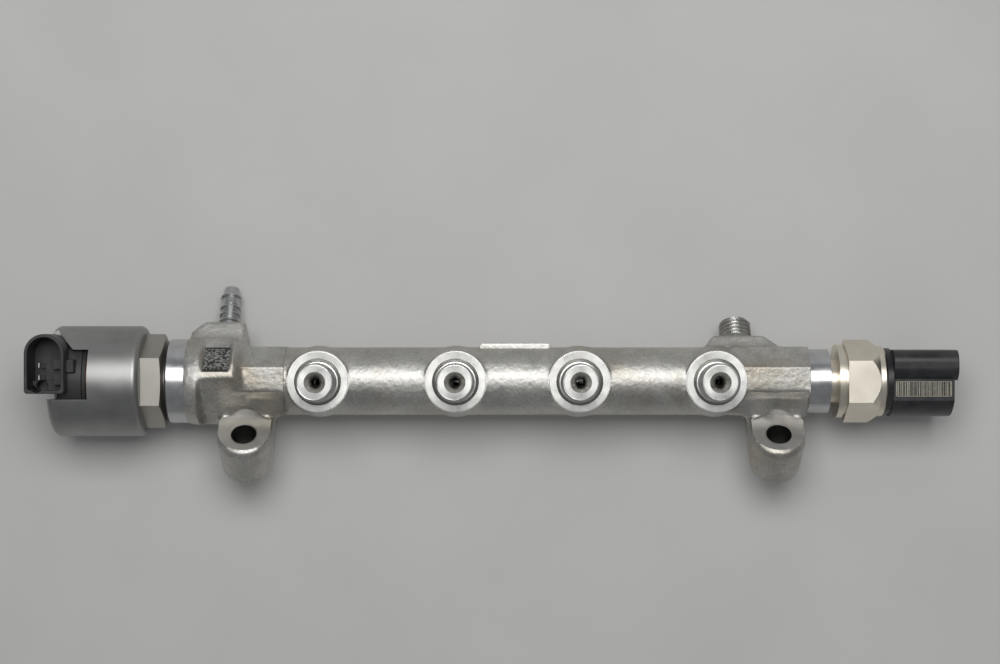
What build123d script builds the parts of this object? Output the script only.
from build123d import *
import math
import os

# Common-rail fuel rail for a four-cylinder diesel engine.
# One steel forging carries four injector outlets, one pump inlet, a leak-off nipple and two bolt
# lugs. A pressure control valve is screwed into its left end, a pressure sensor into its right end.
#
# All pieces are built on the rail axis: X runs along the main bore from the left bolt lug towards
# the sensor, Z points out of the outlets. At the end everything is moved so that the origin is the
# middle of the left bolt hole at its seat on the cylinder head. Lengths are in millimetres.

# ---- mounting lugs ---------------------------------------------------------------------------
bolt_pitch = 195.5            # left bolt to right bolt
bolt_angle = 45.0             # lean of both bolts away from Z
bolt_offset = 20.3            # bolt axis to rail axis
bolt_hole = 9.0               # clear hole for an M8 bolt
bolt_face_height = -6.7       # bolt head face, measured along the bolt from the rail axis
lug_thickness = 16.5          # head face to seat
lug_radius = 10.0             # rounded outer end of a lug
lug_draft = 2.5               # draft of the lug flanks, degrees
lug_pad_reach = 5.5           # the seat runs this far past the rail axis
lug_root_radius = 4.0         # fillet between lug flank and barrel
lug_rim_radius = 1.5          # rounding round the head face
lug_skin = 0.5                # forged skin milled off the head face
face_reach = 9.45             # the milled face runs this far from the hole towards the barrel
face_cutter = 36.0            # diameter of the cutter that leaves the curved end of that face
cutter_height = 5.0

# ---- barrel ----------------------------------------------------------------------------------
barrel_diameter = 25.0
main_bore = 8.5
end_section_flats = 25.4      # across the flats of the eight-sided ends of the barrel
end_section_edge = 0.8        # rounding of those edges
left_section_length = 18.0
right_end = 11.2              # end of the forging, past the right bolt
right_section_length = 28.0
shoulder_depth = 3.9          # the step beside the land starts this far below the axis in Y
step_wall = 5.1               # the step falls this far from the land
step_run = 2.1                # and runs out by this much in Y while it falls
web_slope = math.tan(math.radians(30))   # of the web from the step down to a lug
cross_bore = 3.0              # passages from the main bore to outlets and inlet

# ---- left end block and valve port -----------------------------------------------------------
block_diameter = 32.5
block_start = -21.2           # left face of the forged block, from the left bolt
block_end = -3.2
block_taper = 4.0             # length of the cone down to the barrel
block_rim = 1.4               # its left rim drops by this much
block_rim_length = 4.0        # and is rounded over this length
left_port_diameter = 31.0
left_port_length = 7.0
port_chamfer = 0.6
valve_thread = 20.0           # M20 x 1.5
valve_thread_depth = 12.0
leak_bore = 17.0              # leak-off chamber round the valve nose
leak_bore_end = -3.6
valve_cone_angle = 60.0       # sealing cone at the end of the chamber
code_flat_distance = 13.8     # flat for a marking, from the rail axis
code_flat_angle = 45.0
code_flat_start = -16.0
code_flat_length = 12.5
front_flat_distance = 10.6    # flat along the bolt, which clears its head
front_flat_start = -17.2
flat_run = 1.6                # slanted end of those flats

# ---- right port for the sensor ---------------------------------------------------------------
right_port_diameter = 23.6
right_port_length = 7.7
sensor_thread = 18.0          # M18 x 1.5
sensor_thread_depth = 15.0

# ---- injector outlets ------------------------------------------------------------------------
first_outlet = 27.3           # from the left bolt
outlet_pitches = (50.1, 45.2, 49.9)
outlet_thread = 14.0          # M14 x 1.5
outlet_tip = 25.5             # stud tip above the rail axis
collar_face = 13.5            # machined collar above the rail axis
collar_diameter = 22.0
collar_height = 1.0           # turned edge of the collar
collar_margin = 0.3           # forged skin left standing round it
pedestal_diameter = 26.4      # widest, level with the rail axis
pedestal_shoulder = 4.4       # the widest stretch reaches this far above and below the axis
pedestal_draw = 0.6           # and is drawn in by this much at its ends
recess_diameter = 17.0
recess_depth = 0.8
seal_cone_mouth = 7.7         # wide end of the 60 degree sealing cone
seal_cone_angle = 60.0
stud_chamfer = 0.6
thread_relief = 1.6           # plain neck under each stud thread
thread_relief_depth = 0.9

# ---- pump inlet ------------------------------------------------------------------------------
inlet_position = -13.8        # from the right bolt
inlet_angle = 120.0           # from Z towards +Y
inlet_thread = 12.0           # M12 x 1.5
inlet_tip = 24.4
inlet_face = 15.0
inlet_face_width = 19.0
inlet_boss_height = 16.6
inlet_left_shoulder = 2.6
inlet_right_shoulder = 4.8
inlet_shoulder_drop = 4.0
inlet_edge = 1.1

# ---- leak-off nipple -------------------------------------------------------------------------
return_position = -7.8        # from the left bolt
return_angle = 120.0
return_rise = 2.0             # nipple axis above the rail axis, along the boss
return_face = 20.6
return_boss_width = 14.7
return_boss_height = 15.5
return_shoulder = 5.6
return_shoulder_drop = 5.2
boss_edge = 2.2
nipple_length = 17.5
nipple_ridge = 8.0
nipple_root = 6.4
nipple_tip = 5.6
nipple_bore = 4.0
nipple_shank = 7.0
nipple_insert = 8.0
ridge_positions = (2.9, 5.7, 8.6, 13.4)
ridge_length = 2.2
ridge_lead = 0.5              # steep side of a ridge, towards the boss
ridge_land = 0.4              # flat crest of a ridge

# ---- marking pad -----------------------------------------------------------------------------
pad_start = 86.0
pad_length = 26.1
pad_face = 3.4                # its flat top above the rail axis
pad_reach = 14.0              # its outer side, from the rail axis in Y
pad_thickness = 6.5
pad_corner = 1.2

# ---- pressure control valve ------------------------------------------------------------------
port_gap = 1.4                # hexagon to port face
valve_hexagon = 30.0
valve_hexagon_length = 7.4
valve_hexagon_bevel = 0.5
fit_gap = 0.1                 # radial gap of parts that sit in one another
running_gap = 0.05            # radial gap of parts that slide
nose_diameter = 13.4
nose_tip = 9.6
nose_tip_length = 1.4
nose_land_length = 3.4        # land with the ring groove, behind the nose
nose_ring_section = 1.8
return_holes = 4
return_hole = 2.6
nose_bore = 7.6               # holds the seat, the ball chamber and the guide
seat_length = 4.2
seat_cone_angle = 90.0
seat_margin = 0.4             # the seat's cone is this much wider than the ball
orifice = 1.2
ball_diameter = 3.0
ball_gap = 0.08               # ball to seat and needle
ball_chamber_length = 5.0
needle_diameter = 3.4
guide_length = 8.0
body_bore = 5.0
valve_neck = 20.0             # neck that carries the solenoid can
pole_diameter = 15.6
pole_length = 11.0
armature_step = 0.3           # the armature's radius is this much under the pole's
armature_length = 7.0
armature_holes = 3
armature_hole = 1.6
shim_thickness = 0.3
armature_gap = 0.6            # pole face to armature with the valve shut

can_diameter = 40.7
can_length = 33.3
can_wall = 1.7
can_base = 2.2
can_base_radius = 2.2
can_rim_radius = 2.6
can_lip = 2.4                 # crimped lip over the end plate
window_length = 15.0          # opening for the connector, from the can's left end
window_low = -6.3
window_high = 11.8
window_slant = 5.6            # its upper side turns outwards this far from the right side
end_plate_thickness = 3.0
spool_gap = 0.3               # radial gap of the spool to the pole
spool_wall = 1.1
bobbin_flange = 1.3
flange_gap = 0.85             # radial gap of the spool's flanges to the can
winding_margin = 1.3          # the winding stays this far inside the flanges
coil_seal_section = 1.3
spring_wire = 0.9
spring_diameter = 6.6
spring_turns = 4.5

# ---- valve connector -------------------------------------------------------------------------
overmould_length = 8.8        # plastic disc between coil and end plate
overmould_gap = 0.3           # to the inside of the can
socket_width = 14.3
socket_height = 21.4
socket_wall = 1.1
socket_overhang = 6.6         # past the can's left end
socket_low = -4.0             # square end of the socket in Y
socket_mouth = 24.0
socket_floor = 11.0
socket_bottom = 8.4
socket_corner = 1.2
mouth_chamfer = 0.25
socket_block = 4.0            # raised block beside the blades
socket_block_top = 18.0
latch_width = 4.5
latch_length = 2.4
latch_rise = 1.1
latch_ramp = 0.6
latch_centre = 5.9
blade_pitch = 4.4
blade_width = 2.0
blade_thickness = 0.8
blade_tip = 20.0
blade_offset = 4.5            # from the left side of the socket
blade_centre = 3.9            # middle of the two blades in Y
shelf_top = 14.5              # raised part of the socket floor, below the blades
shelf_gap = 1.2               # to the lower blade
shelf_corner = 1.9            # its two cut corners
key_recess = 4.4              # round recess in the shelf
key_offset = 3.2              # its middle from the lower blade's
floor_skin = 0.8              # plastic left under a recess
block_groove = 1.6
block_groove_depth = 2.4
terminal_leg = 1.2

# ---- pressure sensor -------------------------------------------------------------------------
sensor_gap = 2.9              # port face to sensor flange
sensor_flange = 27.0
sensor_flange_length = 2.2
sensor_groove = 1.0
sensor_hexagon = 26.5
sensor_hexagon_length = 11.8
sensor_hexagon_bevel = 3.1
sensor_collar = 26.0
sensor_collar_length = 2.6
collar_chamfer = 0.7
sensor_lip = 1.0              # rolled lip that holds the plug
sensor_bore = 3.2
sensor_cavity = 20.4
sensor_cavity_depth = 12.0
diaphragm_diameter = 9.0
diaphragm_height = 4.4
board_diameter = 18.6
board_thickness = 1.2
contact_diameter = 1.8
plug_length = 24.4
plug_diameter = 26.0
plug_flat = 11.0              # marking flat above the rail axis
plug_side = 11.6              # flat side towards +Y
plug_wall = 1.7
plug_socket_depth = 15.0
plug_bar_low = 0.6            # rounded bar along the plug, from the axis in Y
plug_bar_top = 13.4
plug_bar_radius = 4.4
plug_bar_extra = 1.2          # the bar stands past the plug's end
plug_root_length = 3.6        # root of the plug inside the collar
plug_neck = 17.6              # neck inside the rolled lip
plug_flange = 24.4            # disc between collar and plug body
plug_flange_length = 2.2
seal_section = 1.5
pin_pitch = 5.0
pin_width = 2.2
pin_thickness = 0.8
pin_reach = 11.0              # blade length inside the socket

def cone_depth(wide, narrow, angle):
    """Length of a cone between two diameters, from its full angle."""
    return (wide - narrow) / 2 / math.tan(math.radians(angle / 2))


# ---- places worked out from the sizes above --------------------------------------------------
bolt_positions = (0.0, bolt_pitch)
bolt_seat_height = bolt_face_height - lug_thickness
outlet_positions = [first_outlet + sum(outlet_pitches[:n]) for n in range(len(outlet_pitches) + 1)]
right_face = bolt_pitch + right_end
right_port_face = right_face + right_port_length
left_port_face = block_start - left_port_length
hexagon_right = left_port_face - port_gap
hexagon_left = hexagon_right - valve_hexagon_length
can_right = hexagon_left
can_left = can_right - can_length
plate_left = can_left + can_wall * 0.5
plate_right = plate_left + end_plate_thickness
overmould_right = plate_right + overmould_length
coil_right = can_right - can_base - fit_gap
coil_left = overmould_right + fit_gap
can_inner = can_diameter - 2 * can_wall
bobbin_bore = pole_diameter + 2 * spool_gap
bobbin_flange_diameter = can_inner - 2 * flange_gap
winding_bore = bobbin_bore + 2 * spool_wall
winding_diameter = bobbin_flange_diameter - 2 * winding_margin
armature_diameter = pole_diameter - 2 * armature_step
nose_contact = leak_bore_end + cone_depth(leak_bore, nose_diameter, valve_cone_angle) - fit_gap
valve_tip = nose_contact + nose_tip_length
seat_left = valve_tip - seat_length
guide_right = seat_left - ball_chamber_length
guide_left = guide_right - guide_length
pole_left = can_right - can_base - pole_length
armature_right = pole_left - armature_gap
armature_left = armature_right - armature_length
socket_left = can_left - socket_overhang
socket_right = socket_left + socket_width
flange_left = right_port_face + sensor_gap
hexagon_start = flange_left + sensor_flange_length + sensor_groove
collar_left = hexagon_start + sensor_hexagon_length
plug_left = collar_left + sensor_collar_length
plug_right = plug_left + plug_length
cavity_floor = plug_left - sensor_cavity_depth
foot_y = -shoulder_depth - step_run
foot_z = end_section_flats / 2 - step_wall
BIG = 400.0                   # longer than anything on the rail


def tilted(x, angle):
    """A plane on the rail axis at x whose Z leans by angle from the rail's Z towards +Y."""
    lean = math.radians(angle)
    return Plane(origin=(x, 0, 0), x_dir=(-1, 0, 0), z_dir=(0, math.sin(lean), math.cos(lean)))


def along_x(x):
    """A plane across the rail axis: its Z is the rail's X, its X is the rail's Y."""
    return Plane(origin=(x, 0, 0), x_dir=(0, 1, 0), z_dir=(1, 0, 0))


def rod(x0, x1, diameter):
    return extrude(along_x(x0) * Circle(diameter / 2), x1 - x0)


def tube(x0, x1, outer, inner):
    return rod(x0, x1, outer) - rod(x0 - 1, x1 + 1, inner)


def turned(points):
    """Revolve an outline of (x, radius) points about the rail axis."""
    return revolve(make_face(Polyline(*points, close=True)), axis=Axis.X)


def turned_up(points):
    """Revolve an outline of (radius, height) points about Z."""
    return revolve(make_face(Plane.XZ * Polyline(*points, close=True)), axis=Axis.Z)


def circles_at(part, x, diameter):
    """The circular edges of one diameter at one place along the rail axis."""
    found = part.edges().filter_by(GeomType.CIRCLE)
    return [e for e in found if abs(e.radius - diameter / 2) < 0.01 and abs(e.center().X - x) < 0.01]


# ---- the forging -----------------------------------------------------------------------------
def flat_cut(angle, distance, left, right):
    """Cutter for a flat on the block that leans by angle from Z, with slanted ends."""
    top = block_diameter / 2 + 1
    ends = ((-left, top), (-left - flat_run, distance), (-right + flat_run, distance), (-right, top))
    outline = Polyline(*ends, close=True)
    return tilted(0, angle) * extrude(make_face(Plane.XZ * outline), BIG / 2, both=True)


def left_end():
    """Round block and machined valve port, with a cone down to the barrel."""
    port_r = left_port_diameter / 2
    block_r = block_diameter / 2
    rim = min(block_rim, 0.9 * (block_r - port_r))
    body = turned([
        (left_port_face, 0),
        (left_port_face, port_r - port_chamfer),
        (left_port_face + port_chamfer, port_r),
        (block_start, port_r),
        (block_start, block_r - rim),
        (block_start + block_rim_length / 4, block_r - rim / 2),
        (block_start + block_rim_length, block_r),
        (block_end, block_r),
        (block_end + block_taper, barrel_diameter / 2),
        (block_end + block_taper, 0),
    ])
    body -= flat_cut(code_flat_angle, code_flat_distance, code_flat_start, code_flat_start + code_flat_length)
    front_flat_end = block_end + block_taper + flat_run
    return body - flat_cut(-bolt_angle, front_flat_distance, front_flat_start, front_flat_end)


def end_section(start, length):
    """Eight-sided stretch of the barrel."""
    octagon = RegularPolygon(end_section_flats / 2, 8, major_radius=False, rotation=22.5)
    return extrude(along_x(start) * fillet(octagon.vertices(), end_section_edge), length)


def end_step(start, length):
    """Cutter for the step beside the land, which slants down to the side of the barrel."""
    land = end_section_flats / 2
    far = land + 1
    outline = Polyline(
        (-shoulder_depth, far),
        (-shoulder_depth, land - end_section_edge),
        (foot_y, foot_z),
        (-far, foot_z - (far + foot_y) * web_slope),
        (-far, far),
        close=True,
    )
    return extrude(make_face(along_x(start) * outline), length, dir=(1, 0, 0))


def web(x):
    """Slanted web from the foot of the step down to the head face of a lug."""
    lean = math.radians(bolt_angle)
    top = bolt_face_height + lug_skin
    flat_z = foot_z - foot_y * web_slope
    end_y = (top - flat_z * math.cos(lean)) / (math.sin(lean) + web_slope * math.cos(lean))
    end_z = flat_z + end_y * web_slope
    outline = Polyline((foot_y, foot_z), (end_y, end_z), (end_y, 0), (foot_y, 0), close=True)
    return extrude(make_face(along_x(x - lug_radius) * outline), 2 * lug_radius, dir=(1, 0, 0))


def lug_blank(x):
    """Tab with a rounded end and drafted flanks, running on as a pad under the barrel."""
    reach = bolt_offset + lug_pad_reach
    outline = Pos(0, bolt_offset) * Circle(lug_radius)
    outline += Pos(0, bolt_offset - reach / 2) * Rectangle(2 * lug_radius, reach)
    head = tilted(x, bolt_angle).offset(bolt_face_height + lug_skin)
    tab = extrude(head * outline, lug_thickness + lug_skin, dir=-head.z_dir, taper=lug_draft)
    rim = tab.edges().filter_by(GeomType.CIRCLE).sort_by(Axis.Z)[-1]
    return fillet(rim, lug_rim_radius)


def bolt_cuts(x):
    """Milled face for the bolt head and the bolt hole."""
    face = tilted(x, bolt_angle) * Pos(0, bolt_offset, bolt_face_height)
    disc = Pos(0, face_cutter / 2 - face_reach) * Circle(face_cutter / 2)
    milled = extrude(face * disc, cutter_height)
    hole = extrude(face * Circle(bolt_hole / 2), 2 * lug_thickness, both=True)
    return milled + hole


def lug_root(x, side):
    """Concave fillet between one flank of a lug and the round barrel."""
    flank = x + side * lug_radius
    inner = barrel_diameter / 2 - 0.5
    radius = barrel_diameter / 2
    far = flank + side * lug_root_radius
    middle = lug_root_radius * (1 - math.sqrt(0.5))
    top = radius + lug_root_radius
    arc = ThreePointArc((far, radius), (flank + side * middle, radius + middle), (flank, top))
    rest = Polyline(arc @ 1, (flank - side, top), (flank - side, inner), (far, inner), arc @ 0)
    ring = revolve(make_face(Curve() + [arc, rest]), axis=Axis.X)
    slab = tilted(x, bolt_angle) * Pos(0, -lug_pad_reach, bolt_seat_height) * Box(
        BIG, BIG, lug_thickness + lug_skin - lug_rim_radius, align=(Align.CENTER, Align.MIN, Align.MIN))
    return ring & slab


def barrel():
    """Main tube with both lugs blended in, eight-sided near each lug."""
    body = rod(block_end, right_face, barrel_diameter)
    body += end_section(block_end, left_section_length)
    body += end_section(right_face - right_section_length, right_section_length)
    body -= end_step(block_end, left_section_length)
    body -= end_step(right_face - right_section_length, right_section_length)
    for x in bolt_positions:
        body += lug_blank(x) + web(x)
    body += lug_root(bolt_positions[0], 1)
    return body + lug_root(bolt_positions[1], -1)


def outlet_pedestal():
    """Forged boss under one outlet: widest beside the bore, drawn in to the collar."""
    collar_r = collar_diameter / 2
    forged_r = collar_r + collar_margin
    wide_r = pedestal_diameter / 2
    low = (barrel_diameter / 2 - 2 * collar_margin, -pedestal_shoulder)
    side = ThreePointArc(low, (wide_r, 0), (wide_r - pedestal_draw, pedestal_shoulder))
    rest = Polyline(
        side @ 1,
        (forged_r, collar_face - collar_height - 2 * collar_margin),
        (forged_r, collar_face - collar_height),
        (collar_r, collar_face - collar_height),
        (collar_r, collar_face),
        (0, collar_face),
        (0, low[1]),
        low,
    )
    return revolve(make_face(Plane.XZ * (Curve() + [side, rest])), axis=Axis.Z)


def stud(thread, start, tip):
    """Threaded stub with a plain neck, standing on Z from start to tip."""
    radius = thread / 2
    return turned_up([
        (0, start - 1),
        (radius - thread_relief_depth, start - 1),
        (radius - thread_relief_depth, start + thread_relief),
        (radius, start + thread_relief + thread_relief_depth),
        (radius, tip - stud_chamfer),
        (radius - stud_chamfer, tip),
        (0, tip),
    ])


def stud_bore(tip):
    """Sealing cone and passage down to the main bore, on Z."""
    depth = cone_depth(seal_cone_mouth, cross_bore, seal_cone_angle)
    return turned_up([
        (0, 0),
        (cross_bore / 2, 0),
        (cross_bore / 2, tip - depth),
        (seal_cone_mouth / 2, tip),
        (seal_cone_mouth / 2, tip + 1),
        (0, tip + 1),
    ])


def outlet_recess():
    """Concave groove round the foot of an outlet stud."""
    inner = outlet_thread / 2 - thread_relief_depth
    outer = recess_diameter / 2
    lowest = ((inner + outer) / 2, collar_face - recess_depth)
    arc = ThreePointArc((inner, collar_face), lowest, (outer, collar_face))
    return revolve(make_face(Plane.XZ * (Curve() + [arc, Line(arc @ 1, arc @ 0)])), axis=Axis.Z)


def inlet_boss():
    """Trapezoid boss for the pump line."""
    half = inlet_face_width / 2
    outline = Polyline(
        (-half, inlet_face),
        (half, inlet_face),
        (half + inlet_left_shoulder, inlet_face - inlet_shoulder_drop),
        (half + inlet_left_shoulder, 0),
        (-half - inlet_right_shoulder, 0),
        (-half - inlet_right_shoulder, inlet_face - inlet_shoulder_drop),
        close=True,
    )
    boss = extrude(make_face(Plane.XZ * outline), inlet_boss_height / 2, both=True)
    return fillet(boss.edges().filter_by(Axis.X) + boss.faces().sort_by(Axis.Z)[-1].edges(), inlet_edge)


def return_boss():
    """Boss for the leak-off nipple, with a long shoulder towards the valve."""
    half = return_boss_width / 2
    outline = Polyline(
        (-half, return_face),
        (half, return_face),
        (half + return_shoulder, return_face - return_shoulder_drop),
        (half + return_shoulder, 0),
        (-half, 0),
        close=True,
    )
    boss = extrude(make_face(Plane.XZ * outline), return_boss_height / 2, both=True)
    top = boss.faces().sort_by(Axis.Z)[-1]
    return Pos(0, return_rise, 0) * fillet(boss.edges().filter_by(Axis.X) + top.edges(), boss_edge)


def marking_pad():
    """Small flat pad on the rear of the barrel."""
    pad = Pos(pad_start, 0, pad_face) * Box(
        pad_length, pad_reach, pad_thickness, align=(Align.MIN, Align.MIN, Align.MAX))
    return fillet(pad.edges().filter_by(Axis.Z).sort_by(Axis.Y)[-2:], pad_corner)


def rail_body():
    """The whole forging with its machining."""
    inlet = tilted(bolt_pitch + inlet_position, inlet_angle)
    leak = tilted(return_position, return_angle)
    body = barrel() + left_end() + marking_pad() + leak * return_boss() + inlet * inlet_boss()
    body += rod(right_face, right_port_face, right_port_diameter)
    body += inlet * stud(inlet_thread, inlet_face, inlet_tip)
    for x in outlet_positions:
        body += Pos(x, 0, 0) * outlet_pedestal()
    for x in bolt_positions:
        body -= bolt_cuts(x)
    for x in outlet_positions:
        body -= Pos(x, 0, 0) * outlet_recess()
        body += Pos(x, 0, 0) * stud(outlet_thread, collar_face, outlet_tip)
        body -= Pos(x, 0, 0) * stud_bore(outlet_tip)
    body -= inlet * stud_bore(inlet_tip)
    body -= main_bores()
    body -= leak * nipple_socket()
    return body


def main_bores():
    """Everything that is bored along the rail axis."""
    thread_end = left_port_face + valve_thread_depth
    seat_end = leak_bore_end + cone_depth(leak_bore, main_bore, valve_cone_angle)
    sensor_end = right_port_face - sensor_thread_depth
    tip_end = sensor_end - cone_depth(sensor_thread, main_bore, 120)
    return turned([
        (left_port_face - 1, 0),
        (left_port_face - 1, valve_thread / 2),
        (thread_end, valve_thread / 2),
        (thread_end, leak_bore / 2),
        (leak_bore_end, leak_bore / 2),
        (seat_end, main_bore / 2),
        (tip_end, main_bore / 2),
        (sensor_end, sensor_thread / 2),
        (right_port_face + 1, sensor_thread / 2),
        (right_port_face + 1, 0),
    ])


def nipple_socket():
    """Press bore of the nipple and the passage into the leak-off chamber, on the boss's Z."""
    press = Pos(0, return_rise, return_face - nipple_insert) * Cylinder(
        nipple_shank / 2, nipple_insert + 1, align=(Align.CENTER, Align.CENTER, Align.MIN))
    passage = Pos(0, return_rise, leak_bore / 2 - return_rise) * Cylinder(
        nipple_bore / 2, return_face - leak_bore / 2, align=(Align.CENTER, Align.CENTER, Align.MIN))
    return press + passage


def leak_nipple():
    """Barbed tube pressed into the leak-off boss, on the boss's Z."""
    start = return_face - nipple_insert
    tip = return_face + nipple_length
    root = nipple_root / 2
    shank = nipple_shank / 2
    points = [(nipple_bore / 2, start), (shank, start), (shank, return_face), (root, return_face)]
    for place in ridge_positions:
        crest = return_face + place
        points += [(root, crest - ridge_lead), (nipple_ridge / 2, crest)]
        points += [(nipple_ridge / 2, crest + ridge_land), (root, crest - ridge_lead + ridge_length)]
    points += [(nipple_tip / 2, tip), (nipple_bore / 2, tip)]
    return Pos(0, return_rise, 0) * turned_up(points)


# ---- pressure control valve ------------------------------------------------------------------
def hexagon(x, flats, length, bevel):
    """Hexagon with one flat towards Z, its right end bevelled, along the rail axis."""
    prism = extrude(along_x(x) * RegularPolygon(flats / 2, 6, major_radius=False), length)
    corner = flats / math.sqrt(3)
    bound = turned([
        (x, 0),
        (x, corner),
        (x + length - bevel, corner),
        (x + length, flats / 2),
        (x + length, 0),
    ])
    return prism & bound


def valve_body():
    """Hexagon, threaded shank, ported nose and the magnet pole behind."""
    shank_end = left_port_face + valve_thread_depth - fit_gap
    shank = valve_thread / 2 - fit_gap
    land = leak_bore / 2 - fit_gap
    land_end = shank_end + nose_land_length
    nose = nose_diameter / 2
    body = turned([
        (pole_left, 0),
        (pole_left, pole_diameter / 2),
        (can_right - can_base, pole_diameter / 2),
        (can_right - can_base, valve_neck / 2),
        (hexagon_right, valve_neck / 2),
        (hexagon_right, shank - 1),
        (left_port_face, shank - 1),
        (left_port_face + 1, shank),
        (shank_end, shank),
        (shank_end, land),
        (land_end, land),
        (land_end, nose),
        (nose_contact, nose),
        (valve_tip, nose_tip / 2),
        (valve_tip, 0),
    ])
    body += hexagon(hexagon_left, valve_hexagon, valve_hexagon_length, valve_hexagon_bevel)
    body -= rod(guide_left, valve_tip + 1, nose_bore)
    body -= rod(pole_left - 1, guide_left + 1, body_bore)
    ring_centre = (shank_end + land_end) / 2
    groove = nose_ring_section + 2 * fit_gap
    groove_floor = leak_bore - 2 * nose_ring_section
    body -= tube(ring_centre - groove / 2, ring_centre + groove / 2, leak_bore, groove_floor)
    hole = Cylinder(return_hole / 2, nose_diameter, align=(Align.CENTER, Align.CENTER, Align.MIN))
    for n in range(return_holes):
        body -= Pos((seat_left + guide_right) / 2, 0, 0) * Rot(45 + 360 * n / return_holes, 0, 0) * hole
    return body


def nose_ring():
    """O-ring between the valve land and the leak-off chamber."""
    centre = left_port_face + valve_thread_depth - fit_gap + nose_land_length / 2
    mean = leak_bore / 2 - nose_ring_section / 2
    return along_x(centre) * Torus(mean, nose_ring_section / 2 - fit_gap / 2)


def valve_seat():
    """Hardened seat with its orifice and conical ball seat."""
    mouth = ball_diameter + seat_margin
    depth = cone_depth(mouth, orifice, seat_cone_angle)
    return turned([
        (seat_left, mouth / 2),
        (seat_left, nose_bore / 2),
        (valve_tip, nose_bore / 2),
        (valve_tip, mouth / 2),
        (valve_tip - depth, orifice / 2),
        (seat_left + depth, orifice / 2),
    ])


def ball_centre():
    """Where the ball rests in the seat cone."""
    half = math.radians(seat_cone_angle / 2)
    apex = seat_left + cone_depth(ball_diameter + seat_margin, 0, seat_cone_angle)
    return apex - ball_diameter / 2 / math.sin(half) - ball_gap


def valve_ball():
    return Pos(ball_centre(), 0, 0) * Sphere(ball_diameter / 2)


def valve_needle():
    """Pin from the armature to the ball."""
    tip = ball_centre() - ball_diameter / 2 - ball_gap
    pin = rod(armature_left, tip, needle_diameter)
    return chamfer(circles_at(pin, tip, needle_diameter), 0.5)


def needle_guide():
    return tube(guide_left, guide_right, nose_bore, needle_diameter + 2 * running_gap)


def armature():
    """Soft iron plunger with three equalising holes."""
    body = tube(armature_left, armature_right, armature_diameter, needle_diameter)
    hole = rod(armature_left - 1, armature_right + 1, armature_hole)
    pitch_radius = (armature_diameter + needle_diameter) / 4
    for n in range(armature_holes):
        body -= Rot(360 * n / armature_holes, 0, 0) * Pos(0, pitch_radius, 0) * hole
    return chamfer(circles_at(body, armature_right, armature_diameter), armature_step)


def gap_shim():
    """Non-magnetic washer on the pole face."""
    return tube(pole_left - shim_thickness, pole_left, pole_diameter - 1, body_bore + 1)


def valve_spring():
    """Compression spring between armature and end plate."""
    start = plate_right + spring_wire / 2 + fit_gap
    length = armature_left - spring_wire / 2 - fit_gap - start
    path = Helix(length / spring_turns, length, spring_diameter / 2 - spring_wire / 2)
    wire = sweep(Plane(path @ 0, z_dir=path % 0) * Circle(spring_wire / 2), path=path, is_frenet=True)
    return along_x(start) * wire


def coil_bobbin():
    """Plastic spool that slides over the pole."""
    spool = tube(coil_left, coil_right, winding_bore, bobbin_bore)
    spool += tube(coil_left, coil_left + bobbin_flange, bobbin_flange_diameter, bobbin_bore)
    spool += tube(coil_right - bobbin_flange, coil_right, bobbin_flange_diameter, bobbin_bore)
    seal = coil_seal_section
    return spool - tube(coil_right - seal, coil_right + 1, pole_diameter + 2 * seal, bobbin_bore - 1)


def coil_winding():
    return tube(coil_left + bobbin_flange, coil_right - bobbin_flange, winding_diameter, winding_bore)


def coil_seal():
    """Square seal between spool, pole and can."""
    outer = pole_diameter + 2 * coil_seal_section - 2 * fit_gap
    return tube(coil_right - coil_seal_section + fit_gap, coil_right, outer, pole_diameter + fit_gap)


def window_outline():
    """Plan of the opening in the can for the connector."""
    right = can_left + window_length
    slant_x = right - window_slant
    run = slant_x - can_left + 1
    return make_face(Polyline(
        (can_left - 1, window_low),
        (right, window_low),
        (right, window_high),
        (slant_x, window_high),
        (can_left - 1, window_high + run),
        close=True,
    ))


def connector_cut():
    """Solid that opens can and end plate for the connector."""
    return Pos(0, 0, socket_bottom - 2 * overmould_gap) * extrude(window_outline(), BIG / 10)


def solenoid_can():
    """Deep drawn steel can, crimped over the end plate at its left end."""
    outer = can_diameter / 2
    inner = can_inner / 2
    body = turned([
        (can_left, inner - can_lip),
        (can_left, outer),
        (can_right, outer),
        (can_right, valve_neck / 2),
        (can_right - can_base, valve_neck / 2),
        (can_right - can_base, inner),
        (plate_left, inner),
        (plate_left, inner - can_lip),
    ])
    body = fillet(circles_at(body, can_left, can_diameter), can_rim_radius)
    body = fillet(circles_at(body, can_right, can_diameter), can_base_radius)
    return body - connector_cut()


def end_plate():
    """Steel plate that closes the magnet circuit."""
    return rod(plate_left, plate_right, can_inner - 2 * fit_gap) - connector_cut()


def socket_outline(inset):
    """D-shaped plan of the valve connector, round at its rear end."""
    radius = socket_width / 2
    high = socket_low + socket_height
    centre = Pos(socket_left + radius, 0)
    block = Pos(socket_left + inset, socket_low + inset) * Rectangle(
        socket_width - 2 * inset, high - radius - socket_low - inset, align=(Align.MIN, Align.MIN))
    corners = block.vertices().sort_by(Axis.Y)[:2]
    return fillet(corners, socket_corner) + centre * Pos(0, high - radius) * Circle(radius - inset)


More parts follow.
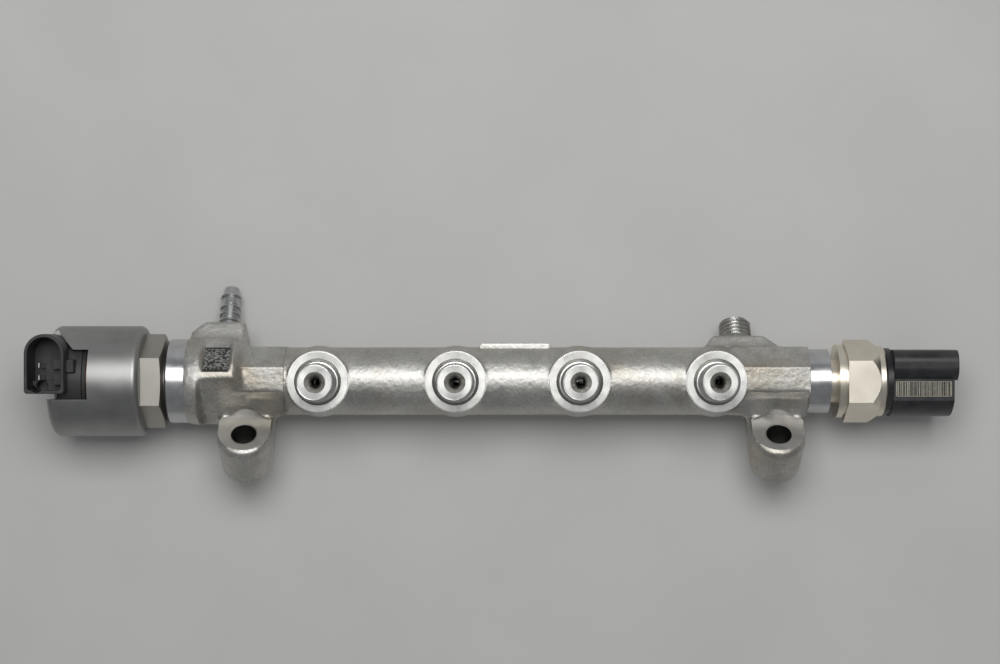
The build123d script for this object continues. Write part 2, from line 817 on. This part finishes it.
def valve_connector():
    """Plastic overmould of the coil leads with its upright two-pin socket."""
    disc = tube(plate_right, overmould_right, can_inner - 2 * overmould_gap, bobbin_bore)
    tower = Pos(0, 0, socket_bottom) * extrude(socket_outline(0), socket_mouth - socket_bottom)
    tower = chamfer(tower.faces().sort_by(Axis.Z)[-1].edges(), mouth_chamfer)
    body = disc + tower
    body -= Pos(0, 0, socket_floor) * extrude(socket_outline(socket_wall), BIG / 10)
    body += socket_shelf() + socket_block_solid()
    recess_y = blade_centre - blade_pitch / 2 - key_offset
    body -= Pos(socket_left + blade_offset, recess_y, socket_bottom + floor_skin) * Cylinder(
        key_recess / 2, BIG / 10, align=(Align.CENTER, Align.CENTER, Align.MIN))
    body += latch()
    return body - valve_terminals()


def socket_shelf():
    """Raised floor below the blades, with two cut corners."""
    low = socket_low + socket_wall
    high = blade_centre - blade_pitch / 2 - shelf_gap
    left = socket_left + socket_wall
    right = socket_right - socket_wall
    outline = Polyline(
        (left, high),
        (left, low + shelf_corner),
        (left + shelf_corner, low),
        (right - shelf_corner, low),
        (right, low + shelf_corner),
        (right, high),
        close=True,
    )
    return Pos(0, 0, socket_floor) * extrude(make_face(outline), shelf_top - socket_floor)


def socket_block_solid():
    """Raised block beside the blades, with a groove down its middle."""
    right = socket_right - socket_wall
    low = socket_low + socket_wall + shelf_corner
    high = blade_centre + blade_pitch
    block = Pos(right, low, socket_floor) * Box(
        socket_block, high - low, socket_block_top - socket_floor, align=(Align.MAX, Align.MIN, Align.MIN))
    groove = Pos(right - socket_block, blade_centre, socket_block_top) * Box(
        2 * socket_block / 3, block_groove, block_groove_depth, align=(Align.MIN, Align.CENTER, Align.MAX))
    return block - groove


def latch():
    """Catch for the plug on the outside of the socket."""
    top = can_inner / 2 + latch_rise
    outline = Polyline(
        (socket_right - socket_wall / 4, socket_floor),
        (socket_right + latch_ramp + latch_length, socket_floor),
        (socket_right + latch_ramp + latch_length, top - latch_rise),
        (socket_right + latch_length, top),
        (socket_right - socket_wall / 4, top),
        close=True,
    )
    return Pos(0, latch_centre, 0) * extrude(make_face(Plane.XZ * outline), latch_width / 2, both=True)


def valve_terminals():
    """The two blades, each bent once inside the plastic."""
    x = socket_left + blade_offset
    leg_z = (socket_bottom + socket_floor) / 2
    pair = []
    for side in (-1, 1):
        y = blade_centre + side * blade_pitch / 2
        blade = Pos(x, y, leg_z) * Box(
            blade_thickness, blade_width, blade_tip - leg_z, align=(Align.CENTER, Align.CENTER, Align.MIN))
        blade = chamfer(blade.faces().sort_by(Axis.Z)[-1].edges(), blade_thickness / 4)
        leg = Pos(x - blade_thickness / 2, y, leg_z) * Box(
            overmould_right - x + blade_thickness / 2, terminal_leg, blade_thickness,
            align=(Align.MIN, Align.CENTER, Align.CENTER))
        pair.append(blade + leg)
    return Compound(pair)


# ---- pressure sensor -------------------------------------------------------------------------
def sensor_port():
    """Steel body: threaded port, flange, hexagon and the collar rolled over the plug."""
    shank = sensor_thread / 2 - fit_gap
    tip = right_port_face - sensor_thread_depth + fit_gap
    collar = sensor_collar / 2
    body = turned([
        (tip, 0),
        (tip, shank - 2),
        (tip + 2, shank),
        (right_port_face, shank),
        (right_port_face, shank - 1),
        (flange_left, shank - 1),
        (flange_left, sensor_flange / 2),
        (flange_left + sensor_flange_length, sensor_flange / 2),
        (flange_left + sensor_flange_length, sensor_flange / 2 - 1.2),
        (hexagon_start, sensor_flange / 2 - 1.2),
        (hexagon_start, sensor_flange / 2 - 2),
        (collar_left - 0.5, sensor_flange / 2 - 2),
        (collar_left - 0.5, collar),
        (plug_left, collar),
        (plug_left, 0),
    ])
    body += hexagon(hexagon_start, sensor_hexagon, sensor_hexagon_length, sensor_hexagon_bevel)
    body = chamfer(circles_at(body, plug_left, sensor_collar), collar_chamfer)
    body -= rod(tip - 1, cavity_floor + 1, sensor_bore)
    body -= rod(cavity_floor, plug_left - sensor_lip, sensor_cavity)
    return body - rod(cavity_floor, plug_left + 1, plug_neck + 2 * fit_gap)


def diaphragm():
    """Steel cup with a thin roof that bends under pressure."""
    outer = diaphragm_diameter / 2
    top = cavity_floor + diaphragm_height
    return turned([
        (cavity_floor, outer - 1.5),
        (cavity_floor, outer),
        (top, outer),
        (top, 0),
        (top - 0.6, 0),
        (top - 0.6, outer - 1.5),
    ])


def sensor_board():
    """Round circuit board on top of the diaphragm."""
    left = cavity_floor + diaphragm_height + fit_gap
    return tube(left, left + board_thickness, board_diameter, diaphragm_diameter / 3)


def board_right():
    return cavity_floor + diaphragm_height + fit_gap + board_thickness


def pin_places():
    return [Pos(0, pin_pitch * n, 0) for n in (-1, 0, 1)]


def sensor_contacts():
    """Three spring contacts between board and blades."""
    right = plug_left - plug_root_length
    contact = rod(board_right() + fit_gap, right - fit_gap, contact_diameter)
    return Compound([place * contact for place in pin_places()])


def sensor_blades():
    """Three blades moulded through the web of the plug."""
    left = plug_left - plug_root_length
    web_right = plug_right - plug_socket_depth
    length = web_right + pin_reach - left
    blade = Pos(left + length / 2, 0, 0) * Box(length, pin_width, pin_thickness)
    return Compound([place * blade for place in pin_places()])


def root_right():
    return plug_left - sensor_lip - fit_gap


def seal_place():
    return root_right() - (plug_root_length - sensor_lip) / 2


def sensor_seal():
    """Square seal in the groove of the plug's root."""
    half = seal_section / 2
    outer = sensor_cavity - fit_gap
    return tube(seal_place() - half, seal_place() + half, outer, sensor_cavity - 2 * seal_section + fit_gap)


def plug_outline(inset=0.0):
    """Section of the plug: round, with a marking flat and a rounded bar beside it."""
    round_part = Circle(plug_diameter / 2 - inset)
    above = Pos(0, plug_flat - inset) * Rectangle(BIG, BIG, align=(Align.CENTER, Align.MIN))
    beside = Pos(plug_side - inset, 0) * Rectangle(BIG, BIG, align=(Align.MIN, Align.CENTER))
    width = plug_side - plug_bar_low - 2 * inset
    bar = Pos(plug_bar_low + inset, 0) * Rectangle(width, plug_bar_top - inset, align=(Align.MIN, Align.MIN))
    corners = bar.vertices().sort_by(Axis.Y)[-2:]
    rounding = min(plug_bar_radius, width / 2.1)
    return (round_part - above - beside) + fillet(corners, rounding)


def sensor_plug():
    """Black plastic plug housing with its three-pin socket."""
    left = plug_left - plug_root_length
    root = sensor_cavity - 2 * fit_gap
    body = rod(left, root_right(), root) + rod(left, plug_left + 1, plug_neck)
    half_groove = seal_section / 2 + fit_gap
    groove_floor = sensor_cavity - 2 * seal_section
    body -= tube(seal_place() - half_groove, seal_place() + half_groove, root + 2, groove_floor)
    body += rod(plug_left + fit_gap, plug_left + plug_flange_length, plug_flange)
    body_left = plug_left + plug_flange_length
    body += extrude(along_x(body_left) * plug_outline(), plug_right - body_left)
    bar = plug_outline() & Pos(plug_bar_low, 0) * Rectangle(BIG, BIG, align=(Align.MIN, Align.MIN))
    body += extrude(along_x(plug_right) * (bar - plug_outline(plug_wall)), plug_bar_extra)
    body -= extrude(along_x(plug_right - plug_socket_depth) * plug_outline(plug_wall), plug_socket_depth + 1)
    return body - sensor_blades()


PARTS = {
    "rail_body": rail_body,
    "leak_nipple": lambda: tilted(return_position, return_angle) * leak_nipple(),
    "valve_body": valve_body,
    "valve_seat": valve_seat,
    "valve_ball": valve_ball,
    "valve_needle": valve_needle,
    "needle_guide": needle_guide,
    "armature": armature,
    "gap_shim": gap_shim,
    "valve_spring": valve_spring,
    "coil_bobbin": coil_bobbin,
    "coil_winding": coil_winding,
    "coil_seal": coil_seal,
    "nose_ring": nose_ring,
    "solenoid_can": solenoid_can,
    "end_plate": end_plate,
    "valve_connector": valve_connector,
    "valve_terminals": valve_terminals,
    "sensor_port": sensor_port,
    "diaphragm": diaphragm,
    "sensor_board": sensor_board,
    "sensor_contacts": sensor_contacts,
    "sensor_blades": sensor_blades,
    "sensor_seal": sensor_seal,
    "sensor_plug": sensor_plug,
}


def main():
    os.makedirs("parts", exist_ok=True)
    origin = (tilted(0, bolt_angle) * Pos(0, bolt_offset, bolt_seat_height)).position
    for name, build in PARTS.items():
        export_step(Pos(-origin) * build(), f"parts/{name}.step")
        print(name, "written")


if __name__ == "__main__":
    main()
